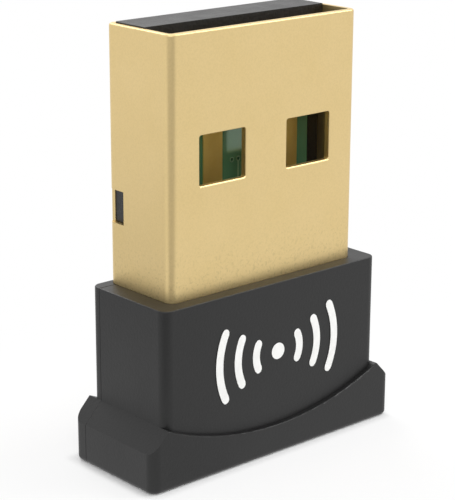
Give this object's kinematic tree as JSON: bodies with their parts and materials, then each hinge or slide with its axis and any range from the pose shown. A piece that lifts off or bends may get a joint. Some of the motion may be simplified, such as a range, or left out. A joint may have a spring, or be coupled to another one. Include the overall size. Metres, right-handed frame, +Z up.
{
  "type": "usb bluetooth adapter",
  "caption": "Thumb-sized wireless adapter: a gold-coloured type A plug shell on a black housing that flares into a scooped flat base it can stand on.",
  "frame": {"origin": "middle of the base's flat bottom", "axes": "+Z up through the plug towards its mouth, -Y the front with the two open windows, +X to the right seen from the front"},
  "size_m": [0.016, 0.0062, 0.0217],
  "materials": {
    "gold_plate": "satin gold-coloured plating on folded sheet",
    "housing_black": "fine-grained matt moulded black plastic",
    "insert_black": "moulded black plastic",
    "board_green": "glossy green solder mask on glass-filled epoxy",
    "contact_gold": "gold-plated copper contact",
    "copper_track": "flat copper track under clear mask",
    "chip_black": "moulded chip package",
    "crystal_can": "drawn metal can",
    "capacitor_tan": "fired ceramic with tinned ends",
    "resistor_black": "coated ceramic with tinned ends",
    "ferrite_grey": "fired ferrite with tinned ends",
    "solder": "bright tin solder",
    "white_ink": "pad-printed white ink"
  },
  "bodies": {
    "root": {"plug_shell": "gold_plate", "housing_body": "housing_black", "housing_lid": "housing_black", "board_carrier": "insert_black", "circuit_board": "board_green", "contact_power": "contact_gold", "contact_data_minus": "contact_gold", "contact_data_plus": "contact_gold", "contact_ground": "contact_gold", "antenna_track": "copper_track", "radio_chip": "chip_black", "memory_chip": "chip_black", "voltage_regulator": "chip_black", "clock_crystal": "crystal_can", "matching_inductor": "ferrite_grey", "supply_bead": "ferrite_grey", "crystal_capacitor_left": "capacitor_tan", "crystal_capacitor_right": "capacitor_tan", "supply_capacitor": "capacitor_tan", "regulator_capacitor": "capacitor_tan", "radio_capacitor": "capacitor_tan", "reset_resistor": "resistor_black", "bus_resistor": "resistor_black", "solder_joint_left": "solder", "solder_joint_right": "solder"}
  },
  "joints": []
}
